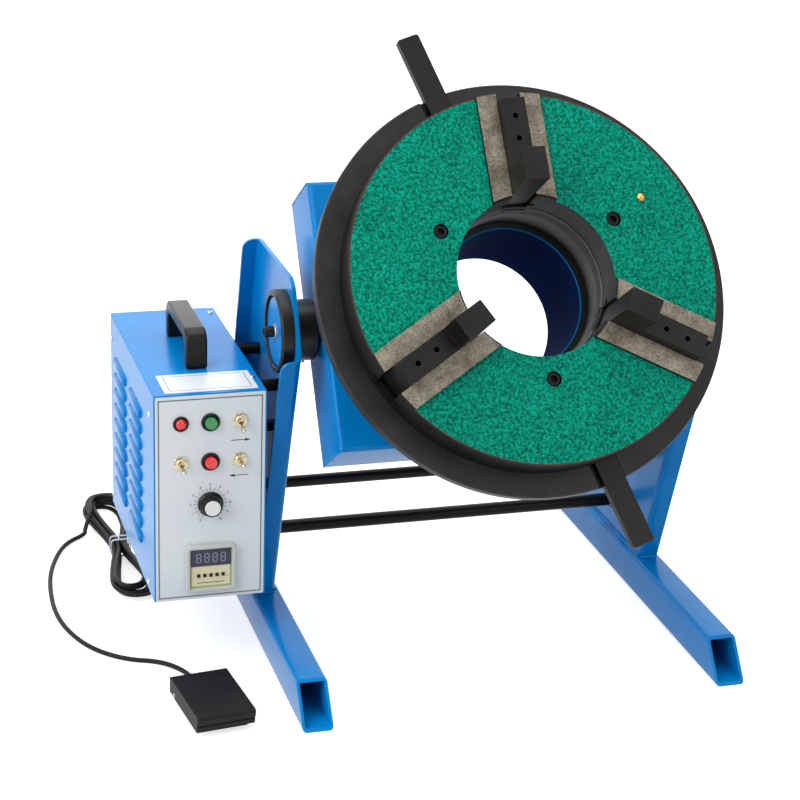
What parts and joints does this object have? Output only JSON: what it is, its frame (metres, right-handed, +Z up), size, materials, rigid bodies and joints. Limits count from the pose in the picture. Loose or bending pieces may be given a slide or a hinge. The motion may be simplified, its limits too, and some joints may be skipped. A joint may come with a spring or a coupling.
{
  "type": "welding positioner",
  "caption": "Tilting and turning welding table with a scroll chuck and stepped jaws on a leaning frame, with a side control box and a foot pedal.",
  "frame": {"origin": "middle of the footprint on the floor, without the cord", "axes": "+Z up, +X to the operator's right, -Y towards the operator, who faces the chuck"},
  "size_m": [0.643, 0.6272, 0.6105],
  "materials": {
    "blue_enamel": "gloss sky-blue enamel",
    "black_enamel": "satin black",
    "blackened_steel": "oiled blackened steel",
    "green_casting": "hammered green enamel on a casting",
    "bare_steel": "machined steel",
    "black_plastic": "moulded black plastic",
    "white_enamel": "white panel enamel",
    "pale_plastic": "pale plastic",
    "clear_plastic": "clear",
    "red_plastic": "red, translucent look",
    "green_plastic": "green",
    "nickel": "nickelled brass",
    "brass": "machined",
    "zinc": "zinc plated",
    "board": "circuit board",
    "cord_rubber": "black cord sheath",
    "tie_band": "pale paper-covered wire"
  },
  "bodies": {
    "frame": {"left_foot": "blue_enamel", "right_foot": "blue_enamel", "left_upright": "blue_enamel", "right_upright": "blue_enamel", "upper_crossbar": "black_enamel", "lower_crossbar": "black_enamel", "box_hanger_rods": "black_enamel", "left_bearing": "black_enamel", "right_bearing": "black_enamel", "bearing_set_screws": "zinc", "lock_rings": "black_enamel", "box_shell": "blue_enamel", "box_chassis": "blue_enamel", "box_front_panel": "white_enamel", "carry_handle": "black_plastic", "box_screws": "zinc", "pilot_lamp": "red_plastic", "panel_bezels": "black_plastic", "toggle_bushings": "nickel", "speed_control": "bare_steel", "timer_case": "pale_plastic", "timer_window": "clear_plastic", "control_board": "board", "transformer": "blackened_steel", "cord_gland": "black_plastic", "rear_sockets": "black_plastic", "pedal_base": "black_plastic", "pedal_pin": "zinc", "cord_floor_run": "cord_rubber", "cord_box_run": "cord_rubber", "cord_hank": "cord_rubber", "hank_tie": "tie_band"},
    "tilting_housing": {"housing_pan": "blue_enamel", "housing_rear_cover": "blue_enamel", "spindle_bearing": "black_enamel", "gearbox": "bare_steel", "gear_motor": "black_enamel", "trunnions": "bare_steel", "tilt_discs": "blue_enamel", "tilt_screws": "blackened_steel"},
    "table": {"spindle_tube": "black_enamel", "spindle_flange": "blackened_steel", "ring_gear": "bare_steel", "chuck_body": "green_casting", "chuck_screws": "blackened_steel", "grease_nipple": "brass"},
    "scroll": {"scroll_ring": "blackened_steel", "lever_bars": "blackened_steel"},
    "first_jaw": {"jaw_1": "blackened_steel"},
    "second_jaw": {"jaw_2": "blackened_steel"},
    "third_jaw": {"jaw_3": "blackened_steel"},
    "drive_pinion": {"pinion": "bare_steel"},
    "reset_push": {"reset_button": "green_plastic"},
    "lock_push": {"lock_button": "red_plastic"},
    "power_lever": {"power_toggle": "nickel"},
    "mode_lever": {"mode_toggle": "nickel"},
    "direction_lever": {"direction_toggle": "nickel"},
    "knob": {"speed_knob": "black_plastic"},
    "tread": {"pedal_tread": "black_plastic"}
  },
  "joints": [
    {"name": "table_tilt", "type": "hinge", "parent": "frame", "child": "tilting_housing", "pos_m": [0.0587, -0.03341, 0.337], "axis": [1, 0, 0], "range_deg": [-56.7, 33.2]},
    {"name": "table_spin", "type": "hinge", "parent": "tilting_housing", "child": "table", "pos_m": [0.0587, -0.10868, 0.38633], "axis": [0, -0.8364, 0.5481], "continuous": true},
    {"name": "scroll_turn", "type": "hinge", "parent": "table", "child": "scroll", "pos_m": [0.0587, -0.1229, 0.39565], "axis": [0, -0.8364, 0.5481], "range_deg": [-287, 1007]},
    {"name": "pinion_spin", "type": "hinge", "parent": "tilting_housing", "child": "drive_pinion", "pos_m": [0.15902, -0.07587, 0.27768], "axis": [0, -0.8364, 0.5481], "continuous": true},
    {"name": "first_jaw_slide", "type": "slide", "parent": "table", "child": "first_jaw", "axis": [-0.0262, 0.548, 0.8361], "range_m": [-0.028, 0.008]},
    {"name": "second_jaw_slide", "type": "slide", "parent": "table", "child": "second_jaw", "axis": [-0.8526, -0.2864, -0.437], "range_m": [-0.028, 0.008]},
    {"name": "third_jaw_slide", "type": "slide", "parent": "table", "child": "third_jaw", "axis": [0.8788, -0.2616, -0.3991], "range_m": [-0.028, 0.008]},
    {"name": "reset_press", "type": "slide", "parent": "frame", "child": "reset_push", "axis": [0, 1, 0], "range_m": [0, 0.002], "stiffness_N_per_m": 300, "springref_m": -0.001},
    {"name": "lock_press", "type": "slide", "parent": "frame", "child": "lock_push", "axis": [0, 1, 0], "range_m": [0, 0.002], "stiffness_N_per_m": 300, "springref_m": -0.001},
    {"name": "power_flip", "type": "hinge", "parent": "frame", "child": "power_lever", "pos_m": [-0.1971, -0.06541, 0.2615], "axis": [1, 0, 0], "range_deg": [-32, 0]},
    {"name": "mode_flip", "type": "hinge", "parent": "frame", "child": "mode_lever", "pos_m": [-0.2541, -0.06541, 0.2213], "axis": [1, 0, 0], "range_deg": [-24, 8]},
    {"name": "direction_flip", "type": "hinge", "parent": "frame", "child": "direction_lever", "pos_m": [-0.1971, -0.06541, 0.2213], "axis": [1, 0, 0], "range_deg": [-16, 16]},
    {"name": "speed_turn", "type": "hinge", "parent": "frame", "child": "knob", "pos_m": [-0.2256, -0.07041, 0.1778], "axis": [0, -1, 0], "range_deg": [-150, 150]},
    {"name": "pedal_press", "type": "hinge", "parent": "frame", "child": "tread", "pos_m": [-0.24475, -0.12561, 0.01], "axis": [0.9934, 0.1149, 0], "range_deg": [0, 4], "stiffness_Nm_per_rad": 4, "springref_deg": -4.58}
  ],
  "couplings": [
    {"joint": "pinion_spin", "follows": "table_spin", "ratio": -4.1667},
    {"joint": "first_jaw_slide", "follows": "scroll_turn", "m_per_rad": -0.0015915},
    {"joint": "second_jaw_slide", "follows": "scroll_turn", "m_per_rad": -0.0015915},
    {"joint": "third_jaw_slide", "follows": "scroll_turn", "m_per_rad": -0.0015915}
  ]
}
